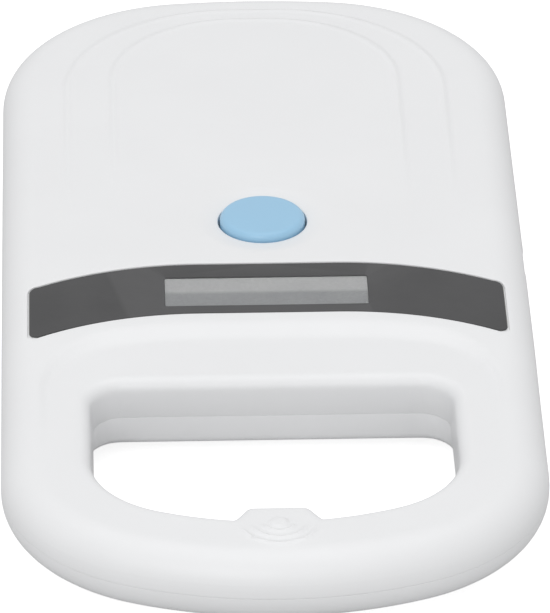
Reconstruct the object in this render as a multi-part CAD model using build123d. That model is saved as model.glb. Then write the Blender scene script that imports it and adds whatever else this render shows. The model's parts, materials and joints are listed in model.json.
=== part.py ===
from build123d import *
from math import asin, cos, radians, sin
import os

# Handheld microchip reader: a flat two-shell housing with a ring-shaped handle, one sprung
# button, a display band, a board, a battery and a loop antenna in the head.
# Millimetres, +Z up. The origin is the middle of the base, +Y points from the handle to the head.

# Overall size
LENGTH = 166.0
WIDTH = 76.0
HEAD_TOP = 14.5          # top face of the head
RING_TOP = 13.3          # top face of the handle ring
RING_UNDERSIDE = 3.0     # the handle stands clear of the table, so that fingers get under it
SPLIT = 7.8              # parting plane of the two shells
WALL = 1.8

# Plan outline: each end is a wide arc between two corner arcs
FAR_END_RADIUS = 112.0
FAR_CORNER_RADIUS = 28.8
NEAR_END_RADIUS = 55.6
NEAR_CORNER_RADIUS = 27.5

# Edges and underside
TOP_FILLET = 5.2
LOW_FILLET = 4.7
RAMP_START_Y = -33.0     # the underside comes down from the handle to the base here
RAMP_END_Y = -26.5
RAMP_RADIUS = 7.0
RIM_START_Y = -20.0      # the rim beside the grip recess sinks from the head to the ring here
RIM_END_Y = -44.0
RIM_RADIUS = 150.0

# Finger hole, thumb tab and grip recess
BAR = 12.9               # width of the handle bar
HOLE_FAR_Y = -34.5
HOLE_FAR_CORNER = 4.5
HOLE_EDGE_FILLET = 1.6
TAB_Y = -66.6
TAB_HALF_TOP = 4.5
TAB_HALF_BASE = 6.4
TAB_CORNER = 1.3
RECESS_INSET = 5.0
RECESS_CORNER = 8.0
RECESS_LOW_Y = -22.4     # foot and head of the slope from the head down to the ring
RECESS_HIGH_Y = -19.4
RIPPLE_Y = -72.1
RIPPLE_RADII = (2.2, 3.7, 5.2)
RIPPLE_WIDTH = 0.6
RIPPLE_DISC_RADIUS = 1.2
RIPPLE_APEX_Y = RIPPLE_Y + 1.5
RIPPLE_SPREAD = 20.0     # half width of the sector that the rings cover, at its base
RIPPLE_REACH = 2.0
RELIEF = 0.25            # height of the ripples and of the arches on the head

# Arches over the antenna: half width, top y, corner radius
ARCHES = ((29.3, 76.5, 26.0), (22.4, 73.1, 20.0))
ARCH_FOOT_Y = 30.0
ARCH_RIB = 0.8

# Display band: straight in the middle, curving towards the handle at both sides
BAND_HALF_FLAT = 10.0
BAND_CURVE_RADIUS = 46.0
BAND_HALF_WIDTH = 34.15
BAND_TOP_Y = -2.65
BAND_BOTTOM_Y = -17.05
BAND_CORNER = 1.3
BAND_POCKET_DEPTH = 0.45
BAND_THICKNESS = 0.25
BAND_GAP = 0.25
BAND_EDGE = 0.05
TAPE_THICKNESS = 0.1
TAPE_INSET = 0.15
TAPE_OPENING = (34.5, 12.1)
SEAT_Z = 11.6            # underside of the thickened seat below the band

# Display stack
DISPLAY_Y = -10.61
WINDOW = (29.1, 8.1)
WINDOW_SINK = 0.05       # the pane lies this far below the band's face
LCD = (31.5, 9.9, 1.1)
LCD_Z = 13.05            # the glass lies against the band
BACKLIGHT = (31.5, 7.4, 1.6)
FRAME_WALL = 0.7
LEDGE_WIDTH = 1.5        # ledges at both ends of the frame carry the light guide
FIT = 0.1

# Button and its switch
BUTTON_Y = 10.1
BUTTON_RADIUS = 6.2
BUTTON_TOP = 15.4
BUTTON_EDGE = 0.9
BUTTON_HOLE_RADIUS = 6.5
BUTTON_SKIRT_Z = 10.2
BUTTON_FLANGE = (7.4, 0.7)
BUTTON_WALL = 1.2
BUTTON_TOP_WALL = 1.3
BUTTON_PIN_RADIUS = 1.4
COLLAR_Z = 11.0
COLLAR_RADIUS = 7.9
DISH_RADIUS = 9.6
DISH_DEPTH = 0.6
SWITCH = (6.0, 6.0, 2.2)
SWITCH_CORNER = 0.5
SWITCH_FLOOR = 0.3
PLUNGER_RADIUS = 1.75
PLUNGER_TOP = 11.2
PLUNGER_TRAVEL = 0.9     # more than the button's, so that the button's collar is the stop
PLUNGER_EDGE = 0.2

# Board
BOARD_Z = 6.9
BOARD_THICKNESS = 1.0
BOARD_HALF_WIDTH = 33.0
BOARD_Y = (-22.0, 21.5)
BOARD_TOP = BOARD_Z + BOARD_THICKNESS
BOARD_CORNER = 2.0

# Parts on the board: size, and place in plan
READER_CHIP, READER_CHIP_AT, READER_CHIP_PITCH = (10.3, 7.5, 1.9), (16.5, 10.5), 1.27
CONTROLLER, CONTROLLER_AT, CONTROLLER_PITCH = (7.0, 7.0, 1.3), (-17.0, 9.5), 0.8
LEGS_PER_SIDE = 8
LEG_REACH = 1.0
LEG_THICKNESS = 0.3
CHIP_EDGE = 0.2
CRYSTAL, CRYSTAL_AT, CRYSTAL_CORNER = (5.0, 3.2, 1.1), (-17.0, 2.0), 0.5
CAPACITOR = (1.25, 1.2, 0.9)
CAPACITOR_CAPS = (1.25, 2.0, 0.7)
CAPACITOR_PITCH = 2.6
CAPACITOR_ROWS = ((4, -24.5, 16.2), (5, 9.6, 4.4))    # count, first x, y
BUZZER_AT, BUZZER_RADIUS, BUZZER_HEIGHT = (24.5, -9.0), 4.6, 3.3
BUZZER_HOLE = (0.8, 0.9)                              # radius, depth
BUZZER_EDGE = 0.5
ZEBRA = (28.0, 1.4)
ZEBRA_INSET = 0.9

# Battery
BATTERY = (48.0, 32.0, 4.0)
BATTERY_Y = -5.0
BATTERY_CORNER = 2.0
BATTERY_FOLD = 0.8
PAD = (40.0, 7.0, 0.5)
PAD_Y_OFFSET = 9.0
LEAD_RADIUS = 0.5
LEAD_BEND = 1.2
LEAD_HALF_PITCH = (7.0, 0.9)   # at the cell and at the plug
PLUG = (6.0, 4.0, 1.9)
PLUG_X, PLUG_FACE_Y, PLUG_Z = -12.0, 15.4, 4.4
PLUG_EDGE = 0.2
SOCKET = (8.0, 5.0)
SOCKET_WALL = 0.6

# Loop antenna: half width, top y, foot y, corner radius of the former's outer edge
LOOP_HALF_WIDTH = 28.3
LOOP_TOP_Y = 75.0
LOOP_FOOT_Y = 28.5
LOOP_CORNER = 22.0
LOOP_FOOT_CORNER = 8.0
LOOP_BAND = 6.0
FORMER_Z = (3.2, 9.2)
FORMER_FLANGE = 0.9
COIL_DEPTH = 4.2
COIL_CLEARANCE = 0.6
FORMER_FOOT_RADIUS = 2.0
FORMER_FEET_Y = (40.0, 52.0)
COIL_LEAD_X = 4.0
COIL_LEAD_RADIUS = 0.4
COIL_LEAD_BEND = 0.8
COIL_LEAD_RUN = 2.6
COIL_PAD_REACH = (1.6, 1.5)

# Fasteners
COVER_SCREW_RADIUS = 1.1
COVER_SCREW_HEAD = (2.1, 1.4)
COVER_BOSS_RADIUS = 2.8
COUNTERBORE_RADIUS = 2.3
HEAD_SCREW_SEAT = 2.6
RING_SCREW_SEAT = 5.0
HEAD_SCREW_LENGTH = 7.5
RING_SCREW_LENGTH = 5.5
SCREW_TIP_ROOM = 0.5
SCREW_SLOT = 0.5
HEAD_SCREWS = ((25.8, 70.3), (33.0, 25.8))
RING_SCREWS = ((32.0, -29.5), (25.7, -68.7))
BOARD_SCREWS = ((28.5, -18.5), (28.5, 18.0))
BOARD_SCREW_RADIUS = 1.0
BOARD_SCREW_HEAD = (1.8, 1.2)
BOARD_POST_RADIUS = 2.5
BOARD_SCREW_LENGTH = 4.2
BOARD_SCREW_HOLE_FIT = 0.2
THREAD_FIT = 0.05

# Joint between the shells
LIP = (1.0, 1.1)         # inset from the outside, and height
LIP_FIT = 0.1

# Charging socket in the side wall
USB_Y = 4.0
USB = (6.4, 7.6, 2.6)
USB_MOUTH_X = 37.0
USB_OPENING = (8.6, 3.1)  # width, and height above the parting plane
USB_WALL = 0.3
USB_CORNER = 0.6
USB_BACK = 0.8
USB_TONGUE = (5.0, 5.2, 0.6)

SPAN = 200.0             # larger than the whole reader, for cutting solids


def box(x0, x1, y0, y1, z0, z1):
    """Box between two corners."""
    return Pos((x0 + x1) / 2, (y0 + y1) / 2, (z0 + z1) / 2) * Box(x1 - x0, y1 - y0, z1 - z0)


def slab(size, x, y, z):
    """Box of a given size, centred in plan at x, y and standing on z."""
    return Pos(x, y, z + size[2] / 2) * Box(*size)


def rod(radius, x, y, z0, z1):
    """Upright cylinder from z0 to z1."""
    return Pos(x, y, (z0 + z1) / 2) * Cylinder(radius, z1 - z0)


def prism(face, z0, z1):
    """A plan face raised from z0 to z1."""
    return Pos(0, 0, z0) * extrude(face, z1 - z0)


def top_edges(shape):
    """Edges of a shape's highest face."""
    return shape.faces().sort_by(Axis.Z)[-1].edges()


def both_sides(points):
    """Each point and its mirror image across the middle plane."""
    return [(side * x, y) for x, y in points for side in (-1, 1)]


# ---------------------------------------------------------------- outlines

def end_curve(sign, inset, end_radius, corner_radius):
    """Arcs around one end, from the side at -X to the side at +X; sign is +1 for the head."""
    lean = asin((WIDTH / 2 - corner_radius) / (end_radius - corner_radius))
    end_y = LENGTH / 2 - end_radius
    corner_x = WIDTH / 2 - corner_radius
    corner_y = end_y + (end_radius - corner_radius) * cos(lean)
    big, small = end_radius - inset, corner_radius - inset

    def on_corner(side, angle):
        return (side * (corner_x + small * sin(angle)), sign * (corner_y + small * cos(angle)))

    middle = (lean + radians(90)) / 2
    tangent = (big * sin(lean), sign * (end_y + big * cos(lean)))
    return [
        ThreePointArc(on_corner(-1, radians(90)), on_corner(-1, middle), (-tangent[0], tangent[1])),
        ThreePointArc((-tangent[0], tangent[1]), (0, sign * (end_y + big)), tangent),
        ThreePointArc(tangent, on_corner(1, middle), on_corner(1, radians(90))),
    ]


def far_end(inset):
    return end_curve(1, inset, FAR_END_RADIUS, FAR_CORNER_RADIUS)


def near_end(inset):
    return end_curve(-1, inset, NEAR_END_RADIUS, NEAR_CORNER_RADIUS)


def closed(edges):
    """Face inside a ring of edges."""
    return make_face(Wire(edges))


def outline(inset):
    """Plan face of the whole reader, inset from its widest section."""
    far, near = far_end(inset), near_end(inset)
    left = Line(near[0] @ 0, far[0] @ 0)
    right = Line(far[2] @ 1, near[2] @ 1)
    return closed([left, *far, right, *near])


def finger_hole(grow):
    """Plan face of the hole in the handle, without the tab."""
    near = near_end(BAR - grow)
    half, far_y = WIDTH / 2 - BAR + grow, HOLE_FAR_Y + grow
    left = Line(near[0] @ 0, (-half, far_y))
    far = Line((-half, far_y), (half, far_y))
    right = Line((half, far_y), near[2] @ 1)
    face = closed([left, far, right, *near])
    corners = face.vertices().filter_by(lambda v: abs(v.Y - far_y) < FIT)
    return fillet(corners, HOLE_FAR_CORNER + grow)


def tab():
    """Plan face of the flat-topped tab on the handle bar, reaching into the bar."""
    root_y = -LENGTH / 2 + BAR / 2
    slope = (TAB_HALF_BASE - TAB_HALF_TOP) / (TAB_Y - (-LENGTH / 2 + BAR))
    half_root = TAB_HALF_TOP + slope * (TAB_Y - root_y)
    points = [(-half_root, root_y), (-TAB_HALF_TOP, TAB_Y), (TAB_HALF_TOP, TAB_Y), (half_root, root_y)]
    return make_face(Polyline(*points, close=True))


def hole_with_tab():
    """Plan face of the open hole, with the tab's corners rounded."""
    face = finger_hole(0) - tab()
    corners = face.vertices().filter_by(lambda v: abs(v.X) < TAB_HALF_BASE * 1.2 and v.Y < TAB_Y + FIT)
    return fillet(corners, TAB_CORNER)


def band_curve(mid_y, half_width):
    """Edge line of the display band, from -X to +X."""
    run = half_width - BAND_HALF_FLAT
    drop = BAND_CURVE_RADIUS - (BAND_CURVE_RADIUS ** 2 - run ** 2) ** 0.5
    middle_run = BAND_CURVE_RADIUS * sin(asin(run / BAND_CURVE_RADIUS) / 2)
    middle_drop = BAND_CURVE_RADIUS - (BAND_CURVE_RADIUS ** 2 - middle_run ** 2) ** 0.5

    def arc(side):
        end = (side * half_width, mid_y - drop)
        middle = (side * (BAND_HALF_FLAT + middle_run), mid_y - middle_drop)
        return end, middle, (side * BAND_HALF_FLAT, mid_y)

    left, right = arc(-1), arc(1)
    return [ThreePointArc(*left), Line(left[2], right[2]), ThreePointArc(*reversed(right))]


def band(inset):
    """Plan face of the display band."""
    half = BAND_HALF_WIDTH - inset
    top, bottom = band_curve(BAND_TOP_Y - inset, half), band_curve(BAND_BOTTOM_Y + inset, half)
    left = Line(bottom[0] @ 0, top[0] @ 0)
    right = Line(top[2] @ 1, bottom[2] @ 1)
    face = closed([left, *top, right, *bottom])
    corners = face.vertices().filter_by(lambda v: abs(abs(v.X) - half) < FIT)
    return fillet(corners, BAND_CORNER)


def recess(top_y):
    """Plan face of the grip recess around the hole, with its far edge at top_y."""
    half = WIDTH / 2 - RECESS_INSET
    top, near = band_curve(top_y, half), near_end(RECESS_INSET)
    left = Line(near[0] @ 0, top[0] @ 0)
    right = Line(top[2] @ 1, near[2] @ 1)
    face = closed([left, *top, right, *near])
    corners = face.vertices().filter_by(lambda v: abs(abs(v.X) - half) < FIT and v.Y > HOLE_FAR_Y)
    return fillet(corners, RECESS_CORNER)


def arch(half_width, top_y, corner, foot_y):
    """Plan face under one arch of the head."""
    face = make_face(Polyline((-half_width, foot_y), (-half_width, top_y), (half_width, top_y),
                              (half_width, foot_y), close=True))
    return fillet(face.vertices().filter_by(lambda v: v.Y > top_y - FIT), corner)


def loop(inset):
    """Plan face of the antenna loop's outer edge."""
    half, top_y, foot_y = LOOP_HALF_WIDTH - inset, LOOP_TOP_Y - inset, LOOP_FOOT_Y + inset
    face = arch(half, top_y, LOOP_CORNER - inset, foot_y)
    return fillet(face.vertices().filter_by(lambda v: v.Y < foot_y + FIT), LOOP_FOOT_CORNER - inset)


# ---------------------------------------------------------------- housing

def side_profile(inset):
    """Long section of the housing in the YZ plane, inset from top and underside."""
    points = [
        (-SPAN, RING_UNDERSIDE + inset), (RAMP_START_Y, RING_UNDERSIDE + inset),
        (RAMP_END_Y, inset), (SPAN, inset),
        (SPAN, HEAD_TOP - inset), (RIM_START_Y, HEAD_TOP - inset),
        (RIM_END_Y, RING_TOP - inset), (-SPAN, RING_TOP - inset),
    ]
    face = make_face(Polyline(*points, close=True))
    inner = face.vertices().filter_by(lambda v: abs(v.X) < SPAN / 2)
    face = fillet(inner.filter_by(lambda v: v.Y < SPLIT), RAMP_RADIUS)
    inner = face.vertices().filter_by(lambda v: abs(v.X) < SPAN / 2)
    face = fillet(inner.filter_by(lambda v: v.Y > SPLIT), RIM_RADIUS)
    return Plane.YZ * face


def housing(inset):
    """Solid inside the housing's outer surface, without hole and recess."""
    solid = prism(outline(inset), -1, HEAD_TOP + 1) & extrude(side_profile(inset), SPAN, both=True)

    def on_rim(edge):
        centre = edge.center()
        return abs(centre.X) > 1 or abs(centre.Y) > LENGTH / 2 - BAR

    rim = solid.edges().filter_by(on_rim)
    solid = fillet(rim.filter_by(lambda e: e.center().Z > RING_TOP - inset - FIT), TOP_FILLET - inset)
    rim = solid.edges().filter_by(on_rim)
    low = rim.filter_by(lambda e: e.center().Z < RING_UNDERSIDE + inset + FIT)
    return fillet(low, LOW_FILLET - inset)


def outer_form():
    """The whole housing as one solid, with hole, tab and recess."""
    solid = housing(0) - prism(hole_with_tab(), -1, HEAD_TOP + 1)

    def on_hole(edge):
        centre = edge.center()
        flat = edge.bounding_box().size.Z < FIT
        return flat and abs(centre.X) < WIDTH / 2 - BAR + FIT and centre.Y < HOLE_FAR_Y + FIT

    cutter = loft([Pos(0, 0, RING_TOP) * recess(RECESS_LOW_Y),
                   Pos(0, 0, HEAD_TOP + FIT) * recess(RECESS_HIGH_Y)], ruled=True)
    solid -= cutter
    hole_edges = solid.edges().filter_by(on_hole)
    return fillet(hole_edges.filter_by(lambda e: e.center().Y > -LENGTH / 2 + BAR - 1), HOLE_EDGE_FILLET)


def cavity():
    """Space inside both shells."""
    solid = housing(WALL) - prism(finger_hole(WALL) + offset(tab(), WALL), -1, HEAD_TOP + 1)
    return solid - box(-SPAN, SPAN, -SPAN, RECESS_HIGH_Y + WALL, RING_TOP - WALL, SPAN)


def lip_ring(outer, inner, z1):
    """Band along the inside of the outer wall, up from the parting plane."""
    return prism(outline(outer) - outline(inner), SPLIT, z1)


def usb_opening():
    """Slot in the upper cover's side wall for the charging socket, open at the parting plane."""
    width, height = USB_OPENING
    return box(BOARD_HALF_WIDTH, WIDTH / 2 + 1, USB_Y - width / 2, USB_Y + width / 2,
               SPLIT, SPLIT + height)


def screw_sets():
    """Seat height, length and places of the cover screws in the head and in the handle."""
    return ((HEAD_SCREW_SEAT, HEAD_SCREW_LENGTH, both_sides(HEAD_SCREWS)),
            (RING_SCREW_SEAT, RING_SCREW_LENGTH, both_sides(RING_SCREWS)))


def upper_bosses():
    """Screw bosses, button collar and display seat under the top face."""
    head, ring = HEAD_TOP - WALL / 2, RING_TOP - WALL / 2
    bosses = [rod(COVER_BOSS_RADIUS, x, y, SPLIT, head) for x, y in both_sides(HEAD_SCREWS)]
    bosses += [rod(COVER_BOSS_RADIUS, x, y, SPLIT, ring) for x, y in both_sides(RING_SCREWS)]
    collar = rod(COLLAR_RADIUS, 0, BUTTON_Y, COLLAR_Z, head)
    seat = prism(band(-1), SEAT_Z, head)
    return Part() + bosses + collar + seat


def screw_holes():
    """Holes in the upper cover that the cover screws cut into."""
    return [rod(COVER_SCREW_RADIUS + THREAD_FIT, x, y, SPLIT, seat + length + SCREW_TIP_ROOM)
            for seat, length, places in screw_sets() for x, y in places]


def dish():
    """Shallow round hollow around the button, as a sphere."""
    radius = (DISH_RADIUS ** 2 + DISH_DEPTH ** 2) / (2 * DISH_DEPTH)
    return Pos(0, BUTTON_Y, HEAD_TOP - DISH_DEPTH + radius) * Sphere(radius)


def display_opening():
    """Opening below the band for the display and its frame."""
    room = 2 * FRAME_WALL + 6 * FIT
    return slab((LCD[0] + room, LCD[1] + room, HEAD_TOP - SPLIT), 0, DISPLAY_Y, SPLIT)


def upper_cover(form, space):
    """Top shell with bosses, button collar, band seat and relief."""
    shell = (form & box(-SPAN, SPAN, -SPAN, SPAN, SPLIT, SPAN)) - space
    shell += upper_bosses() & form
    shell += [prism(rib(shape), HEAD_TOP - FIT, HEAD_TOP + RELIEF) for shape in ARCHES]
    shell += ripples()
    hole = rod(BUTTON_HOLE_RADIUS, 0, BUTTON_Y, SPLIT, SPAN)
    pocket = prism(band(0), HEAD_TOP - BAND_POCKET_DEPTH, HEAD_TOP + 1)
    relief = lip_ring(LIP[0] - LIP_FIT, WALL + LIP_FIT, SPLIT + LIP[1] + LIP_FIT)
    return shell - screw_holes() - [dish(), hole, pocket, display_opening(), relief, usb_opening()]


def rib(shape):
    """Plan face of one arch rib."""
    half_width, top_y, corner = shape
    inner = arch(half_width - ARCH_RIB, top_y - ARCH_RIB, corner - ARCH_RIB, ARCH_FOOT_Y - 1)
    return arch(half_width, top_y, corner, ARCH_FOOT_Y) - inner


def ripples():
    """Disc and part rings in low relief on the tab."""
    reach_y = -LENGTH / 2 + RIPPLE_REACH
    near_side = make_face(Polyline((0, RIPPLE_APEX_Y), (-RIPPLE_SPREAD, reach_y),
                                   (RIPPLE_SPREAD, reach_y), close=True))
    rings = [prism((Pos(0, RIPPLE_Y) * (Circle(r) - Circle(r - RIPPLE_WIDTH))) & near_side,
                   RING_TOP - FIT, RING_TOP + RELIEF) for r in RIPPLE_RADII]
    return rings + [rod(RIPPLE_DISC_RADIUS, 0, RIPPLE_Y, RING_TOP - FIT, RING_TOP + RELIEF)]


def lower_cover(form, space):
    """Bottom shell with screw bosses, board posts and locating lip."""
    shell = (form & box(-SPAN, SPAN, -SPAN, SPAN, -SPAN, SPLIT)) - space
    bosses = [rod(COVER_BOSS_RADIUS, x, y, 0, SPLIT) for x, y in both_sides(HEAD_SCREWS + RING_SCREWS)]
    posts = [rod(BOARD_POST_RADIUS, x, y, WALL / 2, BOARD_Z) for x, y in both_sides(BOARD_SCREWS)]
    shell += (Part() + bosses + posts) & form
    shell += lip_ring(LIP[0], WALL, SPLIT + LIP[1])
    cuts = []
    for seat, _, places in screw_sets():
        for x, y in places:
            cuts.append(rod(COUNTERBORE_RADIUS, x, y, -1, seat))
            cuts.append(rod(COVER_SCREW_RADIUS + THREAD_FIT, x, y, seat, SPLIT + 1))
    thread_foot = BOARD_TOP - BOARD_SCREW_LENGTH - SCREW_TIP_ROOM / 2
    cuts += [rod(BOARD_SCREW_RADIUS + THREAD_FIT, x, y, thread_foot, BOARD_Z + 1)
             for x, y in both_sides(BOARD_SCREWS)]
    return shell - cuts - usb_opening()


# ---------------------------------------------------------------- display

def display_bezel():
    """Dark band with the window opening."""
    z0 = HEAD_TOP - BAND_POCKET_DEPTH + TAPE_THICKNESS
    opening = Pos(0, DISPLAY_Y) * Rectangle(*WINDOW)
    solid = prism(band(BAND_GAP) - opening, z0, z0 + BAND_THICKNESS)
    return chamfer(solid.faces().sort_by(Axis.Z)[-1].outer_wire().edges(), BAND_EDGE)


def bezel_tape():
    """Adhesive ring that holds the band in its pocket."""
    z0 = HEAD_TOP - BAND_POCKET_DEPTH
    opening = Pos(0, DISPLAY_Y) * Rectangle(*TAPE_OPENING)
    return prism(band(TAPE_INSET) - opening, z0, z0 + TAPE_THICKNESS)


def display_window():
    """Clear pane that fills the band's opening, bonded to the display glass."""
    band_z = HEAD_TOP - BAND_POCKET_DEPTH + TAPE_THICKNESS
    return slab((WINDOW[0] - FIT, WINDOW[1] - FIT, BAND_THICKNESS - WINDOW_SINK), 0, DISPLAY_Y, band_z)


def lcd_glass():
    return slab(LCD, 0, DISPLAY_Y, LCD_Z)


def lcd_backlight():
    """Light guide behind the glass, against its far edge."""
    y = DISPLAY_Y + (LCD[1] - BACKLIGHT[1]) / 2
    return slab(BACKLIGHT, 0, y, LCD_Z - BACKLIGHT[2])


def lcd_frame():
    """Frame on the board that holds glass and light guide."""
    outer = (LCD[0] + 2 * FRAME_WALL, LCD[1] + 2 * FRAME_WALL, LCD_Z + LCD[2] - FIT - BOARD_TOP)
    inner = (LCD[0] + 2 * FIT, LCD[1] + 2 * FIT, outer[2] + 1)
    frame = slab(outer, 0, DISPLAY_Y, BOARD_TOP) - slab(inner, 0, DISPLAY_Y, BOARD_TOP)
    ledge = (LEDGE_WIDTH, BACKLIGHT[1] - 1, LCD_Z - BACKLIGHT[2] - BOARD_TOP)
    for side in (-1, 1):
        frame += slab(ledge, side * (inner[0] - ledge[0]) / 2, DISPLAY_Y + 1, BOARD_TOP)
    return frame


def zebra_strip():
    """Striped rubber connector from the board to the glass."""
    y = DISPLAY_Y - LCD[1] / 2 + ZEBRA_INSET
    return slab((*ZEBRA, LCD_Z - BOARD_TOP), 0, y, BOARD_TOP)


# ---------------------------------------------------------------- button

def scan_button():
    """Hollow cap with a retaining flange and a centre pin."""
    radius, thickness = BUTTON_FLANGE
    cap = rod(BUTTON_RADIUS, 0, BUTTON_Y, BUTTON_SKIRT_Z, BUTTON_TOP)
    cap = fillet(top_edges(cap), BUTTON_EDGE)
    cap += rod(radius, 0, BUTTON_Y, BUTTON_SKIRT_Z, BUTTON_SKIRT_Z + thickness)
    cap -= rod(BUTTON_RADIUS - BUTTON_WALL, 0, BUTTON_Y, BUTTON_SKIRT_Z - 1, BUTTON_TOP - BUTTON_TOP_WALL)
    return cap + rod(BUTTON_PIN_RADIUS, 0, BUTTON_Y, PLUNGER_TOP, BUTTON_TOP - BUTTON_TOP_WALL / 2)


def switch_body():
    """Switch housing on the board, open above the plunger."""
    body = slab(SWITCH, 0, BUTTON_Y, BOARD_TOP)
    body = chamfer(body.edges().filter_by(Axis.Z), SWITCH_CORNER)
    return body - rod(PLUNGER_RADIUS + THREAD_FIT, 0, BUTTON_Y, BOARD_TOP + SWITCH_FLOOR, HEAD_TOP)


def switch_plunger():
    """Moving pin of the switch, resting against the button's centre pin."""
    foot = BOARD_TOP + SWITCH_FLOOR + FIT + PLUNGER_TRAVEL
    pin = rod(PLUNGER_RADIUS, 0, BUTTON_Y, foot, PLUNGER_TOP)
    return chamfer(top_edges(pin), PLUNGER_EDGE)


# ---------------------------------------------------------------- electronics

def main_board():
    """Printed circuit board with clearance holes for its screws."""
    board = box(-BOARD_HALF_WIDTH, BOARD_HALF_WIDTH, *BOARD_Y, BOARD_Z, BOARD_TOP)
    board = fillet(board.edges().filter_by(Axis.Z), BOARD_CORNER)
    hole_radius = BOARD_SCREW_RADIUS + BOARD_SCREW_HOLE_FIT
    return board - [rod(hole_radius, x, y, 0, HEAD_TOP) for x, y in both_sides(BOARD_SCREWS)]


def reader_chip():
    """Transponder reader circuit, a wide small-outline package with legs."""
    return leaded_package(READER_CHIP, READER_CHIP_AT, READER_CHIP_PITCH)


def microcontroller():
    return leaded_package(CONTROLLER, CONTROLLER_AT, CONTROLLER_PITCH)


def leaded_package(size, place, pitch):
    """Chip body with a row of legs along its two sides parallel to X."""
    x, y = place
    body = slab((size[0], size[1] - 2 * LEG_REACH, size[2]), x, y, BOARD_TOP + FIT)
    body = chamfer(top_edges(body), CHIP_EDGE)
    for i in range(LEGS_PER_SIDE):
        leg_x = x + (i - (LEGS_PER_SIDE - 1) / 2) * pitch
        body += slab((pitch * 0.4, size[1], LEG_THICKNESS), leg_x, y, BOARD_TOP)
    return body


def crystal():
    can = slab(CRYSTAL, *CRYSTAL_AT, BOARD_TOP)
    return fillet(can.edges().filter_by(Axis.Z), CRYSTAL_CORNER)


def capacitors():
    """Ceramic tuning and decoupling capacitors: a body between two end caps."""
    group = []
    for count, first_x, y in CAPACITOR_ROWS:
        for i in range(count):
            x = first_x + i * CAPACITOR_PITCH
            body = slab(CAPACITOR, x, y, BOARD_TOP + FIT / 2)
            group.append(body + slab(CAPACITOR_CAPS, x, y, BOARD_TOP))
    return Part() + group


def buzzer():
    """Round sounder with a hole in its lid."""
    top = BOARD_TOP + BUZZER_HEIGHT
    can = fillet(top_edges(rod(BUZZER_RADIUS, *BUZZER_AT, BOARD_TOP, top)), BUZZER_EDGE)
    hole_radius, hole_depth = BUZZER_HOLE
    return can - rod(hole_radius, *BUZZER_AT, top - hole_depth, top + 1)


def usb_socket():
    """Charging and data socket, open towards +X."""
    x = USB_MOUTH_X - USB[0] / 2
    shell = fillet(slab(USB, x, USB_Y, BOARD_TOP).edges().filter_by(Axis.X), USB_CORNER)
    mouth = (USB[0] - USB_BACK, USB[1] - 2 * USB_WALL, USB[2] - 2 * USB_WALL)
    shell -= slab(mouth, x + USB_BACK, USB_Y, BOARD_TOP + USB_WALL)
    tongue_x = USB_MOUTH_X - USB[0] + USB_TONGUE[0] / 2
    tongue_z = BOARD_TOP + (USB[2] - USB_TONGUE[2]) / 2
    return shell + slab(USB_TONGUE, tongue_x, USB_Y, tongue_z)


def battery_cell():
    """Flat pouch cell with a folded top edge."""
    cell = slab(BATTERY, 0, BATTERY_Y, WALL + PAD[2])
    cell = fillet(cell.edges().filter_by(Axis.Z), BATTERY_CORNER)
    return fillet(top_edges(cell), BATTERY_FOLD)


def battery_pads():
    """Foam pads between the cell and the floor."""
    return Part() + [slab(PAD, 0, BATTERY_Y + side * PAD_Y_OFFSET, WALL) for side in (-1, 1)]


def battery_socket():
    """Socket under the board, open towards the battery."""
    size = (*SOCKET, BOARD_Z - PLUG_Z + SOCKET_WALL)
    socket = slab(size, PLUG_X, PLUG_FACE_Y + PLUG[1] - SOCKET_WALL, PLUG_Z - SOCKET_WALL)
    way = (PLUG[0] + 2 * FIT, PLUG[1] + 2 * FIT, PLUG[2] + 2 * FIT)
    return socket - slab(way, PLUG_X, PLUG_FACE_Y + PLUG[1] / 2, PLUG_Z - FIT)


def battery_plug():
    plug = slab(PLUG, PLUG_X, PLUG_FACE_Y + PLUG[1] / 2, PLUG_Z)
    return chamfer(plug.edges().filter_by(Axis.Y), PLUG_EDGE)


def battery_lead():
    """Two short wires from the cell to the plug."""
    cell_y, z = BATTERY_Y + BATTERY[1] / 2, PLUG_Z + PLUG[2] / 2
    turn_y = (cell_y + PLUG_FACE_Y) / 2
    cell_half, plug_half = LEAD_HALF_PITCH
    wires = []
    for side in (-1, 1):
        start_x, end_x = PLUG_X + side * cell_half, PLUG_X + side * plug_half
        route = FilletPolyline((start_x, cell_y, z), (start_x, turn_y, z), (end_x, turn_y, z),
                               (end_x, PLUG_FACE_Y, z), radius=LEAD_BEND)
        wires.append(wire_along(route, LEAD_RADIUS))
    return Part() + wires


def wire_along(route, radius):
    """Round wire along a route."""
    return sweep(Plane(origin=route @ 0, z_dir=route % 0) * Circle(radius), path=route)


# ---------------------------------------------------------------- antenna

def antenna_former():
    """Flat bobbin: a core between two flanges, standing on two feet."""
    z0, z1 = FORMER_Z
    flat = loop(0) - loop(LOOP_BAND)
    core = loop(COIL_DEPTH) - loop(LOOP_BAND)
    former = prism(flat, z0, z0 + FORMER_FLANGE) + prism(flat, z1 - FORMER_FLANGE, z1)
    former += prism(core, z0 + FORMER_FLANGE, z1 - FORMER_FLANGE)
    foot_x = LOOP_HALF_WIDTH - LOOP_BAND / 2
    feet = both_sides([(foot_x, y) for y in FORMER_FEET_Y])
    return former + [rod(FORMER_FOOT_RADIUS, x, y, WALL, z0) for x, y in feet]


def antenna_coil():
    """Winding in the former's groove, as one bundle."""
    z0, z1 = FORMER_Z
    return prism(loop(COIL_CLEARANCE) - loop(COIL_DEPTH), z0 + FORMER_FLANGE, z1 - FORMER_FLANGE)


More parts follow.
